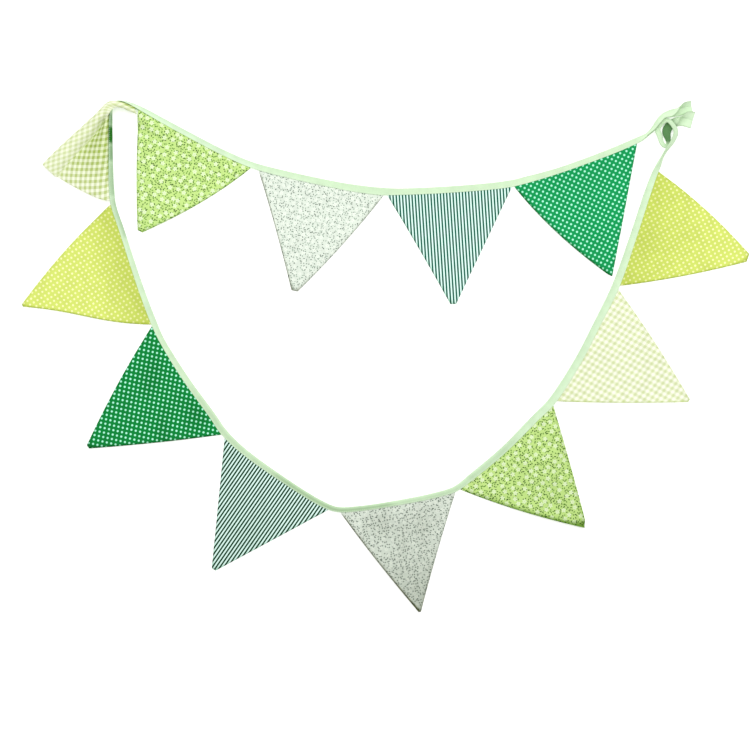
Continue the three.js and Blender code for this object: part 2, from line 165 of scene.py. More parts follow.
# Small five-petalled flowers scattered among leaves, both at random turns.
def flowerPrint(tree, cloth, look):
    flower = addNode(tree, "TexVoronoi", {"Vector": cloth, "Scale": 1 / (look["gaps"][0] * mm),
                                          "Randomness": flowerLook["spread"][0]}, voronoi_dimensions="2D")
    fromEye = addNode(tree, "VectorMath", {0: cloth, 1: flower.outputs["Position"]}, operation="SUBTRACT")
    parts = addNode(tree, "SeparateXYZ", {"Vector": fromEye})
    angle = addNode(tree, "Math", {0: parts.outputs["Y"], 1: parts.outputs["X"]}, operation="ARCTAN2")
    spin = addNode(tree, "SeparateColor", {"Color": flower.outputs["Color"]})
    turned = addNode(tree, "Math", {0: spin.outputs["Red"], 1: flowerLook["turn"], 2: angle},
                     operation="MULTIPLY_ADD")
    fivefold = addNode(tree, "Math", {0: turned, 1: flowerLook["petals"]}, operation="MULTIPLY")
    lobe = addNode(tree, "Math", {0: fivefold}, operation="COSINE")
    reach = addNode(tree, "Math", {0: lobe, 1: flowerLook["lobe"] * look["petal"] * mm,
                                   2: (1 - flowerLook["lobe"]) * look["petal"] * mm}, operation="MULTIPLY_ADD")
    distance = addNode(tree, "VectorMath", {0: fromEye}, operation="LENGTH")
    past = addNode(tree, "Math", {0: distance, 1: reach}, operation="SUBTRACT")
    inFlower = addNode(tree, "MapRange", {
        "Value": past, "From Min": -flowerLook["soft"] * mm, "From Max": flowerLook["soft"] * mm,
        "To Min": 1.0, "To Max": 0.0})
    inEye = addNode(tree, "MapRange", {
        "Value": distance, "From Min": (flowerLook["eye"] - flowerLook["soft"]) * mm,
        "From Max": (flowerLook["eye"] + flowerLook["soft"]) * mm, "To Min": 1.0, "To Max": 0.0})
    leaf = addNode(tree, "TexVoronoi", {"Vector": cloth, "Scale": 1 / (look["gaps"][1] * mm),
                                        "Randomness": flowerLook["spread"][1]}, voronoi_dimensions="2D")
    fromLeaf = addNode(tree, "VectorMath", {0: cloth, 1: leaf.outputs["Position"]}, operation="SUBTRACT")
    leafSpin = addNode(tree, "SeparateColor", {"Color": leaf.outputs["Color"]})
    leafTurn = addNode(tree, "Math", {0: leafSpin.outputs["Red"], 1: flowerLook["turn"]}, operation="MULTIPLY")
    laid = addNode(tree, "VectorRotate", {"Vector": fromLeaf, "Angle": leafTurn}, rotation_type="Z_AXIS")
    longLeaf, wideLeaf = look["leafSize"]
    stretched = addNode(tree, "VectorMath", {0: laid, 1: (1 / (longLeaf * mm), 1 / (wideLeaf * mm), 0)},
                        operation="MULTIPLY")
    leafEdge = addNode(tree, "VectorMath", {0: stretched}, operation="LENGTH")
    inLeaf = addNode(tree, "MapRange", {
        "Value": leafEdge, "From Min": 1 - flowerLook["leafSoft"], "From Max": 1 + flowerLook["leafSoft"],
        "To Min": 1.0, "To Max": 0.0})
    grown = addNode(tree, "Math", {0: leafSpin.outputs["Green"], 1: flowerLook["leafShare"]},
                    operation="LESS_THAN")
    drawnLeaf = addNode(tree, "Math", {0: inLeaf, 1: grown}, operation="MULTIPLY")
    paleLeaf = shadeByFullerDye(tree, look["leaf"][0], look["strong"])
    green = addNode(tree, "Mix", {"Factor": leafSpin.outputs["Blue"], "A": paleLeaf,
                                  "B": hexColour(look["leaf"][1])}, data_type="RGBA")
    withLeaves = addNode(tree, "Mix", {"Factor": drawnLeaf, "A": hexColour(look["ground"]), "B": green},
                         data_type="RGBA")
    withFlowers = addNode(tree, "Mix", {"Factor": inFlower, "A": withLeaves, "B": hexColour(look["figure"])},
                          data_type="RGBA")
    return addNode(tree, "Mix", {"Factor": inEye, "A": withFlowers, "B": hexColour(look["eye"])},
                   data_type="RGBA")


# A plain colour with painted shade: greyer where the tape turns away from the light.
def plainShadedByDye(tree, cloth, look):
    return shadeByFullerDye(tree, look["ground"], look["strong"])


weaveLook = {
    "thread": 0.55, "depth": 0.1, "bump": 0.5, "slub": 14.0, "slubDetail": 4.0, "slubRange": (0.3, 0.7),
    "slubHeight": 1.5, "mottle": 0.1, "rough": (0.82, 0.95), "specular": 0.12, "sheen": 0.03, "sheenRough": 0.6,
}


# Plain-woven cotton: matt, with crossing threads, soft slubs and painted shade that deepens its colour.
def cottonCloth(name, drawPrint, look):
    material = bpy.data.materials.new(name)
    material.use_nodes = True
    tree = material.node_tree
    surface = tree.nodes["Principled BSDF"]
    surface.inputs["Specular IOR Level"].default_value = weaveLook["specular"]
    surface.inputs["Sheen Weight"].default_value = weaveLook["sheen"]
    surface.inputs["Sheen Roughness"].default_value = weaveLook["sheenRough"]
    cloth = addNode(tree, "UVMap", {}, uv_map="cloth")
    printed = drawPrint(tree, cloth, look)
    slub = addNode(tree, "TexNoise", {"Vector": cloth, "Scale": 1 / (weaveLook["slub"] * mm),
                                      "Detail": weaveLook["slubDetail"]})
    low, high = weaveLook["slubRange"]
    tone = addNode(tree, "MapRange", {"Value": slub, "From Min": low, "From Max": high,
                                      "To Min": 1 - weaveLook["mottle"], "To Max": 1.0})
    # painted shade: the shade attribute multiplies the colour towards deep
    shade = addNode(tree, "Attribute", {}, attribute_name="shade")
    deepened = addNode(tree, "Mix", {"Factor": shade.outputs["Fac"], "A": printed, "B": (*look["deep"], 1)},
                       data_type="RGBA", blend_type="MULTIPLY")
    colour = addNode(tree, "VectorMath", {0: deepened, "Scale": tone}, operation="SCALE")
    tree.links.new(colour.outputs[0], surface.inputs["Base Color"])
    smoothest, roughest = weaveLook["rough"]
    rough = addNode(tree, "MapRange", {"Value": slub, "From Min": low, "From Max": high,
                                       "To Min": smoothest, "To Max": roughest})
    tree.links.new(rough.outputs[0], surface.inputs["Roughness"])
    # real threads are 0.25 mm apart: drawn about twice as coarse, so that they show in a close view
    counted = addNode(tree, "VectorMath", {0: cloth, "Scale": math.pi / (weaveLook["thread"] * mm)},
                      operation="SCALE")
    crossed = addNode(tree, "VectorMath", {0: counted}, operation="SINE")
    parts = addNode(tree, "SeparateXYZ", {"Vector": crossed})
    threads = addNode(tree, "Math", {0: parts.outputs["X"], 1: parts.outputs["Y"]}, operation="MULTIPLY")
    height = addNode(tree, "Math", {0: slub, 1: weaveLook["slubHeight"], 2: threads}, operation="MULTIPLY_ADD")
    bump = addNode(tree, "Bump", {"Height": height, "Strength": weaveLook["bump"],
                                  "Distance": weaveLook["depth"] * mm})
    tree.links.new(bump.outputs["Normal"], surface.inputs["Normal"])
    return material


# The gaps and sizes of the flowers and leaves are in millimetres; deep multiplies the colour in full painted
# shade; strong is a fuller dye for painted shade.
cottons = {
    "greenDots": cottonCloth("printed cotton, green with dots", dotPrint, {
        "ground": "#0b9b54", "figure": "#b2ffe0", "strong": "#008638", "deep": (0.2, 0.34, 0.2)}),
    "yellowDots": cottonCloth("printed cotton, lime yellow with dots", dotPrint, {
        "ground": "#d9e872", "figure": "#fdffbc", "strong": "#c6d94e", "deep": (0.5, 0.56, 0.2)}),
    "stripe": cottonCloth("printed cotton, green stripe", stripePrint, {
        "ground": "#e2fff6", "figure": "#14604c", "strong": "#004020", "deep": (0.36, 0.56, 0.42)}),
    "gingham": cottonCloth("woven cotton gingham", ginghamWeave, {
        "ground": "#fdffee", "figure": "#dfe8b8", "strong": "#b0c366", "deep": (0.68, 0.77, 0.45)}),
    "limeFlower": cottonCloth("printed cotton, lime with flowers", flowerPrint, {
        "ground": "#c6e68a", "strong": "#5c8a2c", "figure": "#e4f6c8", "leaf": ("#6fa63c", "#023208"),
        "eye": "#d9ea9e", "gaps": (13, 3.9), "petal": 3.9, "leafSize": (1.55, 0.78),
        "deep": (0.25, 0.36, 0.12)}),
    "paleFlower": cottonCloth("printed cotton, pale with flowers", flowerPrint, {
        "ground": "#e0eadc", "strong": "#2f4c3c", "figure": "#edf5e9", "leaf": ("#98b09c", "#12301f"),
        "eye": "#dbe5cd", "gaps": (11, 3.8), "petal": 3.2, "leafSize": (1.3, 0.62),
        "deep": (0.1, 0.11, 0.04)}),
    "tape": cottonCloth("cotton bias binding, pale mint", plainShadedByDye, {
        "ground": "#d9f2ce", "strong": "#a3c297", "deep": (0.008, 0.165, 0.0)}),
}
print("cloth materials made:", len(cottons))


# A grid of cloth whose corners are put in place one by one. place gives the point, the flat cloth's own
# coordinates, and how much painted shade it has, plain and as a fuller dye, for shares across and along the grid.
def clothGrid(name, columns, rows, thick, place):
    bm = bmesh.new()
    bmesh.ops.create_grid(bm, x_segments=columns, y_segments=rows, size=0.5)
    mapped = bm.loops.layers.uv.new("cloth")
    # painted shade: one layer darkens the colour, the other mixes in a fuller, darker dye
    shade = bm.verts.layers.float.new("shade")
    shadeByDye = bm.verts.layers.float.new("shadeByDye")
    flat = {}
    for corner in bm.verts:
        point, flat[corner], corner[shade], corner[shadeByDye] = place(corner.co.x + 0.5, corner.co.y + 0.5)
        corner.co = point * mm
    for face in bm.faces:
        face.smooth = True
        for loop in face.loops:
            loop[mapped].uv = [size * mm for size in flat[loop.vert]]
    mesh = bpy.data.meshes.new(name)
    bm.to_mesh(mesh)
    bm.free()
    piece = bpy.data.objects.new(name, mesh)
    scene.collection.objects.link(piece)
    solid = piece.modifiers.new("thickness", "SOLIDIFY")
    solid.thickness = thick * mm
    solid.offset = 0
    solid.use_even_offset = True
    rounded = piece.modifiers.new("soft edges", "SUBSURF")
    rounded.levels = rounded.render_levels = 1
    return piece


def dress(piece, node, cotton):
    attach(piece, "root")
    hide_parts(node)
    piece.data.materials.append(cottons[cotton])


# Binding tape

tape = {
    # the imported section, whose place this cloth takes
    "wallThick": 1, "flagThick": 1.0, "seamAir": 0.3, "edgeSlack": 1.5, "tieSlot": 0.8,
    "firstFlag": 108.5, "lastFlag": 2563.5, "slotEase": (20, 16),
    # the cloth: its thickness, its steps along, and how far from the edge the columns of a wall lie
    "thick": 0.95, "steps": 922, "wall": (0, 1.5, 3.2, 5.6), "crown": 0.25,
    # how far the stitches pull the walls together, how far from the edge, and over what width
    "pinch": (0.3, 1.5, 1.2),
    # height and length of the ripples, how far they shift per column, and their share on the fold
    "ripple": (0.22, 9, 0.35, 0.4),
    # the ties: where the first ends and the last begins, over what length that changes, how much painted shade
    # their fold has, and how grey with painted shade and how wide their edges are
    "ties": (80, 2600, 24, 0.12, 0.8, 2),
    # from, to, how deep the painted shade is and how much of it the lip loses
    "shaded": ((992, 1014, 0.7, 0.2), (1012, 1042, 1, 0), (1042, 1070, 0.66, 0.2), (1070, 1125, 0.4, 0.2),
               (1125, 1168, 0.2, 0.2), (1128, 1192, 0.3, 1), (2714, 2752, 0.84, 0)),
    # painted shade: from, to and how much greyer it makes the tape
    "greyShade": ((100, 640, 0.25), (1450, 2080, 0.5), (1640, 1860, 1)),
    # how far both fade, where across the wall the painted grey shade lies and how wide it is, and how grey the
    # painted shade makes the fold
    "shadeEase": 6, "greyEase": 30, "greyAcross": (0.45, 0.55), "foldGreyShade": 0.3,
    # x, y, lift, roll, width and how far the fold is open, from the end of one tie to the end of the other
    "route": (
        (487.4, 391.8, 0.6, 0, 10.5, 0.8), (475, 388.8, 2.2, 0, 12, 0.7), (463.5, 385.4, 4.4, 4, 13.5, 0.45),
        (452, 382.7, 7, 12, 12.5, 0), (440.5, 378.5, 7.5, 20, 9.5, 0), (432, 369.5, 7, 22, 9, 0),
        (425, 359.5, 4, 40, 8.5, 0), (417, 351.5, 0.5, 62, 8, 0), (409, 346, 0, 30, 8.5, 0),
        (398, 340.5, 0, 3, 9.5, 0), (370, 328.2, 0, 0, 10, 0), (324, 310.4, 0, 0, 9.5, 0),
        (276, 293.5, 0, 0, 9.5, 0), (228, 279.6, 0, 0, 11.2, 0), (196, 272, 0, 0, 11.4, 0),
        (118.5, 264.3, 0, 0, 10.8, 0), (24, 259.8, 0, 0, 10.8, 0), (-8.5, 260.5, 0, 0, 12.5, 0),
        (-39, 264, 0, 0, 12, 0), (-70, 269, 0, 0, 11, 0), (-165, 289.5, 0, 0, 10.5, 0),
        (-212, 302.5, 0, 0, 10, 0), (-259, 323, 0, 0, 9, 0), (-322.5, 356, 0, 5, 9, 0),
        (-355, 373.5, 0, 15, 9, 0), (-380, 387, 0, 32, 9.5, 0), (-403, 397.5, 0, 60, 10, 0),
        (-418, 401.5, 0, 78, 10, 0), (-429, 399, 0, 90, 10, 0), (-434.5, 389.5, 0, 102, 10, 0),
        (-435.5, 370.5, 0, 118, 10, 0), (-435.5, 342, 0, 122, 10, 0), (-435, 302.5, 0, 130, 10, 0),
        (-433.5, 262.5, 0, 150, 9.5, 0), (-430.5, 238, 0, 168, 8.5, 0), (-418.2, 200.8, 0, 180, 8.5, 0),
        (-387.1, 106.3, 0, 180, 9.5, 0), (-366.3, 51.5, 0, 180, 10, 0), (-355.3, 26.9, 0, 180, 9, 0),
        (-317.6, -34.6, 0, 180, 10, 0), (-274, -95, 0, 180, 10.5, 0), (-256.6, -120.3, 0, 180, 11, 0),
        (-227.5, -149, 0, 180, 10, 0), (-165, -194.5, 0, 180, 9, 0), (-101, -234.5, 0, 180, 9, 0),
        (-76, -244, 0, 180, 8.5, 0), (-40, -242.5, 0, 180, 8, 0), (23, -233, 0, 180, 8, 0),
        (86, -220, 0, 180, 8.5, 0), (112.5, -211, 0, 180, 9, 0), (139.8, -190.4, 0, 180, 10.6, 0),
        (187.9, -150, 0, 180, 11, 0), (241, -96.5, 0, 180, 12, 0), (263.5, -74, 0, 180, 12.5, 0),
        (304, -12, 0, 180, 12, 0), (336, 49.5, 0, 180, 11.5, 0), (366.4, 111.7, 0, 180, 12.2, 0),
        (392.5, 185.3, 0, 180, 11.2, 0), (416, 256.8, 0, 178, 10.8, 0), (427.2, 287.8, 0, 186, 9.6, 0),
        (434.5, 304.2, 0, 222, 9, 0), (440, 316, 1.5, 245, 7.5, 0), (446.5, 327, 4.5, 240, 7.5, 0),
        (455, 339.5, 5.5, 215, 8, 0), (460, 353.5, 5.5, 205, 8.5, 0), (455.4, 364.2, 5, 205, 8.3, 0),
        (447, 372.3, 4, 203, 7.8, 0), (438, 367.6, 3.2, 205, 8.2, 0), (431.8, 358.6, 2.6, 205, 8.5, 0),
        (435.6, 347.9, 1.6, 200, 8.5, 0), (438.8, 337.4, 0.6, 190, 7, 0), (444.2, 331.8, 0.1, 182, 6.2, 0),
        (449.4, 336.6, 0, 180, 6.6, 0), (448.4, 345.2, 0, 180, 9.5, 0), (446.4, 354.2, 0, 180, 14.5, 0),
        (450, 363, 0, 180, 14.5, 0), (458.8, 369.4, 0, 180, 14, 0), (467, 371.4, 0, 180, 15, -0.4),
        (475, 370.6, 0.2, 180, 14, -0.75), (487, 367.5, 0.3, 180, 15, -0.9),
    ),
}


# The centre line: a centripetal spline through the route, kept as close samples with their length and row.
def routeSamples(route, perSpan=48):
    knots = [Vector(row[:3]) for row in route]
    knots = [2 * knots[0] - knots[1], *knots, 2 * knots[-1] - knots[-2]]
    line, place = [], []
    for i in range(len(route) - 1):
        p0, p1, p2, p3 = knots[i:i + 4]
        g0, g1, g2 = (p1 - p0).length ** 0.5, (p2 - p1).length ** 0.5, (p3 - p2).length ** 0.5
        lead = ((p1 - p0) / g0 - (p2 - p0) / (g0 + g1) + (p2 - p1) / g1) * g1
        trail = ((p2 - p1) / g1 - (p3 - p1) / (g1 + g2) + (p3 - p2) / g2) * g1
        span = interpolate_bezier(p1, p1 + lead / 3, p2 - trail / 3, p2, perSpan + 1)
        last = i == len(route) - 2
        line += span if last else span[:-1]
        place += [i + k / perSpan for k in range(perSpan + 1 if last else perSpan)]
    return line, place


centreLine, rowPlaces = routeSamples(tape["route"])
reach = [0.0]
for before, after in zip(centreLine, centreLine[1:]):
    reach.append(reach[-1] + (after - before).length)
tapeLength = reach[-1]


# Place, directions and section of the tape at a length along it.
@lru_cache(maxsize=None)
def tapeAt(length):
    i = min(max(bisect(reach, length), 1), len(reach) - 1)
    share = min(max((length - reach[i - 1]) / (reach[i] - reach[i - 1]), 0), 1)
    ahead, behind = centreLine[min(i + 1, len(reach) - 1)], centreLine[max(i - 2, 0)]
    along = (ahead - behind).normalized()
    spot = lerp(rowPlaces[i - 1], rowPlaces[i], share)
    low = min(int(spot), len(tape["route"]) - 2)
    rowA, rowB = tape["route"][low], tape["route"][low + 1]
    roll, width, opened = (lerp(rowA[k], rowB[k], spot - low) for k in (3, 4, 5))
    left = up.cross(along).normalized()
    above = along.cross(left)
    turn = math.radians(roll)
    across = left * math.cos(turn) + above * math.sin(turn)
    face = along.cross(across)
    early, ease = tape["slotEase"]
    afterFirst, beforeLast = length - tape["firstFlag"], tape["lastFlag"] - length
    inFlags = smooth((afterFirst + early) / ease) * smooth((beforeLast + early) / ease)
    onEdge = math.sin(turn) ** 2
    slot = lerp(tape["tieSlot"], tape["flagThick"] + 2 * tape["seamAir"] + tape["edgeSlack"] * onEdge, inFlags)
    deep = slot + 2 * tape["wallThick"]
    centre = centreLine[i - 1].lerp(centreLine[i], share)
    centre.z += (abs(across.z) * width + abs(face.z) * deep) / 2
    fold = centre - across * width / 2
    return SimpleNamespace(fold=fold, along=along, across=across, face=face, slot=slot, width=width,
                           open=opened)


# One point of the folded section: 0 at one edge, round the fold in the middle, 1 at the other edge.
# Columns 0 to 3 are one wall, 4 to 8 the fold and 9 to 12 the other wall.
def tapePoint(u, v):
    length = u * tapeLength
    at = tapeAt(length)
    radius = (at.slot + tape["wallThick"]) / 2
    middle = radius + tape["wallThick"] / 2
    wall = at.width - middle
    turn = math.pi * (1 - abs(at.open))
    mirrored = at.open < 0
    column = round(v * 12)
    column = 12 - column if mirrored else column
    edges = [wall - d if d < wall else 0 for d in tape["wall"]]
    if column < 4:
        angle, out = turn, edges[column]
    elif column <= 8:
        angle, out = turn * (8 - column) / 4, 0
    else:
        angle, out = 0, edges[12 - column]
    side = angle if column <= 8 else 0
    offU, offW = middle - radius * math.sin(side), -radius * math.cos(side)
    offU -= out * math.cos(side) * (1 if column <= 8 else -1)
    offW += out * math.sin(side)
    pinch, fromEdge, pinchWide = tape["pinch"]
    stitched = math.exp(-((wall - out - fromEdge) / pinchWide) ** 2) if out else 0
    proud = tape["crown"] * math.sin(math.pi * out / wall) - pinch * stitched * (1 - abs(at.open))
    high, long, shift, onFold = tape["ripple"]
    proud += high * ripple(length / long, column * shift, 3) * (1 if out else onFold)
    offU -= proud * math.sin(side)
    offW -= proud * math.cos(side)
    point = at.fold + at.across * offU + at.face * (-offW if mirrored else offW)
    point.z = max(point.z, tape["thick"] / 2)
    girth = (column - 6) / 6 * at.width
    # painted shade: greyer stretches and a greyer fold side, darker shaded stretches, and a shaded fold and grey
    # edges on the ties
    greyShade = max(amount * within(length, start, end, tape["greyEase"]) for start, end, amount in tape["greyShade"])
    greyAt, greyWide = tape["greyAcross"]
    turned = max(greyShade * math.exp(-((out / wall - greyAt) / greyWide) ** 2),
                 tape["foldGreyShade"] * (1 - out / wall))
    deep = max(amount * within(length, start, end, tape["shadeEase"]) * (1 - lost * out / wall)
               for start, end, amount, lost in tape["shaded"])
    firstTie, lastTie, ease, foldShade, edgeGreyShade, edgeWide = tape["ties"]
    tie = 1 - smooth((length - firstTie) / ease) * smooth((lastTie - length) / ease)
    if 5 <= column <= 7:
        deep = max(deep, foldShade * tie)
    edgeGreyShading = edgeGreyShade * tie * smooth((out - wall + edgeWide) / edgeWide)
    return point, (length, girth), deep, max(turned * (1 - abs(at.open)), edgeGreyShading)


tapeCloth = clothGrid("tapeCloth", tape["steps"], 12, tape["thick"], tapePoint)
dress(tapeCloth, "tape", "tape")
print("binding tape made:", round(tapeLength, 1), "mm long")

# Flags

flagCloth = {
    # heading: how far from the tape's fold the cloth ends; fall: how far out it reaches the surface;
    # seam: width of the painted shadow along the side seams; edgeLift: how narrow a lifted edge is
    "thick": 0.85, "columns": 40, "rows": 46, "heading": 2.6, "fall": 28, "seam": 1.7, "edgeLift": 2.2,
    # soft creases, the pull at the tape and the puckers along the seams: height, length and how they fade
    "crease": (0.7, 46), "pull": (0.45, 9, 14, 5), "pucker": (0.4, 8, 5),
    # the way from the light, and the share of the painted seam shadow that shows on every side
    "awayFromLight": (-0.4, -0.9, 0), "allSides": 0.3,
    # shares of the height where the second and third painted shade are reached
    "shadeAt": (0.35, 0.8),
    # width, length and spread of the painted crumple shade, and how far from the tape it and the painted seam
    # shadow set in
    "crumpleShade": (26, 60, 0.1), "crumpleShadeFrom": 8, "seamShadowFrom": 12,
}
# from, to: along the tape; tip, blunt, tipTurn: place, width and turn of the point; bow, sway: how the two
# sides curve; wave, phase, lift: ripples; shade: painted shade near the tape, at a third and at the point;
# shadeByDye: how full a darker dye is, as painted shade; crumpleShade: how deep the painted crumple shade is;
# grain: turn of the print's two directions
flags = (
    {"node": "flag_01_green_dots", "cotton": "greenDots", "from": 108.5, "to": 314.5, "tip": (357, 127),
     "blunt": 8, "tipTurn": -47, "seam": 3, "bow": (0, 8), "wave": 2, "phase": 0.2, "lift": 0,
     "shade": (0.09, 0, 0.03), "shadeByDye": 0, "crumpleShade": 0.08, "grain": (-1, 89)},
    {"node": "flag_02_stripe", "cotton": "stripe", "from": 317.5, "to": 515, "tip": (108.5, 81.5), "blunt": 9,
     "bow": (0, -1), "wave": 1.5, "phase": 0.6, "lift": 0, "shade": (0.05, 0, 0), "shadeByDye": 0, "crumpleShade": 0,
     "grain": (0, 90)},
    {"node": "flag_03_pale_flower", "cotton": "paleFlower", "from": 520, "to": 722, "tip": (-143.5, 102.5),
     "blunt": 10, "bow": (4, -2), "wave": 2, "phase": 0.1, "lift": 0, "shade": (0.015, 0, 0.015), "shadeByDye": 0,
     "crumpleShade": 0.02, "grain": (0, 90)},
    {"node": "flag_04_lime_flower", "cotton": "limeFlower", "from": 734, "to": 933.5, "tip": (-389, 197),
     "blunt": 8, "bow": (8, 3), "wave": 2, "phase": 0.5, "lift": 2, "shade": (0.02, 0, 0), "shadeByDye": 0,
     "crumpleShade": 0.02, "grain": (0, 90)},
    {"node": "flag_06_yellow_dots", "cotton": "yellowDots", "from": 1136.5, "to": 1337, "tip": (-575.5, 79.5),
     "blunt": 4, "seam": 2.2, "sway": (0, 2.5), "bow": (6, 2), "wave": 1.5, "phase": 0.3, "lift": 0,
     "shade": (0.48, 0.04, 0), "shadeByDye": 0, "crumpleShade": 0.05, "grain": (61.5, 148.3)},
    {"node": "flag_07_green_dots", "cotton": "greenDots", "from": 1339, "to": 1543, "tip": (-471.5, -145),
     "blunt": 6, "seam": 2.5, "bow": (4, 2), "wave": 2.5, "phase": 0.4, "lift": 0, "shade": (0.02, 0, 0.02),
     "shadeByDye": 1, "crumpleShade": 0.35, "grain": (1.5, 91.5)},
    {"node": "flag_08_stripe", "cotton": "stripe", "from": 1549.5, "to": 1749, "tip": (-272, -339.5),
     "blunt": 7, "bow": (0, 0), "wave": 1.5, "phase": 0.7, "lift": 0, "shade": (0.02, 0.05, 0.1), "shadeByDye": 1,
     "crumpleShade": 0.1, "grain": (0, 90)},
    {"node": "flag_09_pale_flower", "cotton": "paleFlower", "from": 1766, "to": 1951, "tip": (55.5, -407),
     "blunt": 3, "seam": 2.2, "bow": (2, -2), "wave": 2.5, "phase": 0.2, "lift": 2,
     "shade": (0.11, 0.17, 0.36), "shadeByDye": 1, "crumpleShade": 0.2, "grain": (0, 90)},
    {"node": "flag_10_lime_flower", "cotton": "limeFlower", "from": 1958, "to": 2156, "tip": (317, -267),
     "blunt": 12, "tipTurn": 42, "seam": 4, "bow": (5, 1), "wave": 2, "phase": 0.6, "lift": 6,
     "shade": (0.03, 0.08, 0.1), "shadeByDye": 0.5, "crumpleShade": 0.05, "grain": (0, 90)},
    {"node": "flag_11_gingham", "cotton": "gingham", "from": 2164, "to": 2366, "tip": (482.5, -71.5),
     "blunt": 5, "bow": (2, 3), "wave": 1.5, "phase": 0.3, "lift": 0, "shade": (0.1, 0.08, 0.05), "shadeByDye": 0.18,
     "crumpleShade": 0.03, "grain": (0, 82)},
    {"node": "flag_12_yellow_dots", "cotton": "yellowDots", "from": 2371.5, "to": 2563.5, "tip": (576, 155),
     "blunt": 13, "bow": (4, 6), "wave": 1.5, "phase": 0.5, "lift": 0, "shade": (0.42, 0.15, 0), "shadeByDye": 0.1,
     "crumpleShade": 0.16, "grain": (5, 91.5)},
)


def makeFlag(flag, seed):
    ends = [tapeAt(flag[end]) for end in ("from", "to")]
    corners = [at.fold + at.across * at.width for at in ends]
    base = (corners[1] - corners[0]).to_3d()
    base.z = 0
    baseLength = base.length
    base.normalize()
    centre = tapeAt((flag["from"] + flag["to"]) / 2)
    middle = centre.fold + centre.across * centre.width
    tip = Vector((*flag["tip"], 0))
    height = (tip - middle).length
    inside = centre.width - flagCloth["heading"]
    baseAngle = math.degrees(math.atan2(base.y, base.x))
    bluntWay = compass(baseAngle + flag.get("tipTurn", 0))
    grain = [compass(baseAngle + turn) for turn in flag["grain"]]

    # how far each side seam faces away from the light, which sets how much painted shadow it gets
    sideAway = []
    for corner in corners:
        side = (tip - corner).normalized()
        outward = Vector((side.y, -side.x, 0))
        if outward.dot(corner - middle) < 0:
            outward.negate()
        away = max(0, outward.dot(Vector(flagCloth["awayFromLight"])))
        sideAway.append(flagCloth["allSides"] + (1 - flagCloth["allSides"]) * away)

    def place(u, v):
        at = tapeAt(lerp(flag["from"], flag["to"], u))
        mouth = at.fold + at.across * at.width
        out = lerp(-inside, height, v)
        if out <= 0:
            point = at.fold + at.across * lerp(flagCloth["heading"], at.width, 1 + out / inside)
        else:
            down = out / height
            point = mouth.lerp(tip + bluntWay * flag["blunt"] * (u - 0.5), down)
            swell = flag["bow"][0 if u < 0.5 else 1] * (2 * u - 1)
            point += base * swell * 4 * down * (1 - down)
            sway = flag.get("sway", (0, 0))[0 if u < 0.5 else 1] * (2 * u - 1)
            point += base * sway * math.sin(2 * math.pi * down)
            fall = smooth(out / flagCloth["fall"])
            rippled = max(0, math.sin(2 * math.pi * (u + flag["phase"]))) * math.sin(math.pi * down) * fall
            edge = max(0, 1 - flagCloth["edgeLift"] * u) ** 2 * down * fall
            leave = at.across.z * out * (1 - fall)
            point.z = lerp(mouth.z, flagCloth["thick"] / 2, fall) + leave
            point.z += flag["wave"] * rippled + flag["lift"] * edge
            # soft creases, the pull of the stitches at the tape, and the puckered seams at the two sides
            fromSide = min(u, 1 - u) * baseLength * (1 - down)
            high, long = flagCloth["crease"]
            point.z += high * fall * (0.5 + ripple(point.x / long, point.y / long, seed))
            high, long, fade, begin = flagCloth["pull"]
            pull = math.exp(-out / fade) * smooth(out / begin)
            point.z += high * (0.5 + ripple(u * baseLength / long, 0, seed + 20)) * pull
            high, long, fade = flagCloth["pucker"]
            seam = math.exp(-fromSide / fade) * fall
            point.z += seam * high * (0.5 + ripple(out / long, u * 4, seed + 40))
            point.z = max(point.z, flagCloth["thick"] / 2)
        flatPoint = point - middle
        depth = max(out, 0) / height
        # painted shade: darker near the tape and, on some flags, towards the point
        near, half, far = flag["shade"]
        second, third = flagCloth["shadeAt"]
        if depth < second:
            deep = lerp(near, half, depth / second)
        else:
            deep = lerp(half, far, (depth - second) / (third - second))
        # painted shadow along the side seams, darkest on the sides facing away from the light
        seamShadowWide = flag.get("seam", flagCloth["seam"])
        seamShadowAway = [sideAway[side] * math.exp(-(share * baseLength * (1 - depth) / seamShadowWide) ** 2)
                    for side, share in ((0, u), (1, 1 - u))]
        seamShadow = max(seamShadowAway) * smooth(out / flagCloth["seamShadowFrom"])
        # painted shade in crumple-like patches
        wide, tall, bias = flagCloth["crumpleShade"]
        crumpleShading = max(0, ripple(point.x / wide, point.y / tall, seed + 60) + bias)
        deep += flag["crumpleShade"] * crumpleShading * smooth(out / flagCloth["crumpleShadeFrom"])
        return point, [flatPoint.dot(way) for way in grain], min(deep + seamShadow, 1), flag["shadeByDye"]

    piece = clothGrid(flag["node"].title().replace("_", "") + "Cloth", flagCloth["columns"], flagCloth["rows"],
                      flagCloth["thick"], place)
    dress(piece, flag["node"], flag["cotton"])
    return piece


flatFlags = [makeFlag(flag, seed) for seed, flag in enumerate(flags)]
print("flat flags made:", len(flatFlags))

# Rolled flag at the corner of the loop

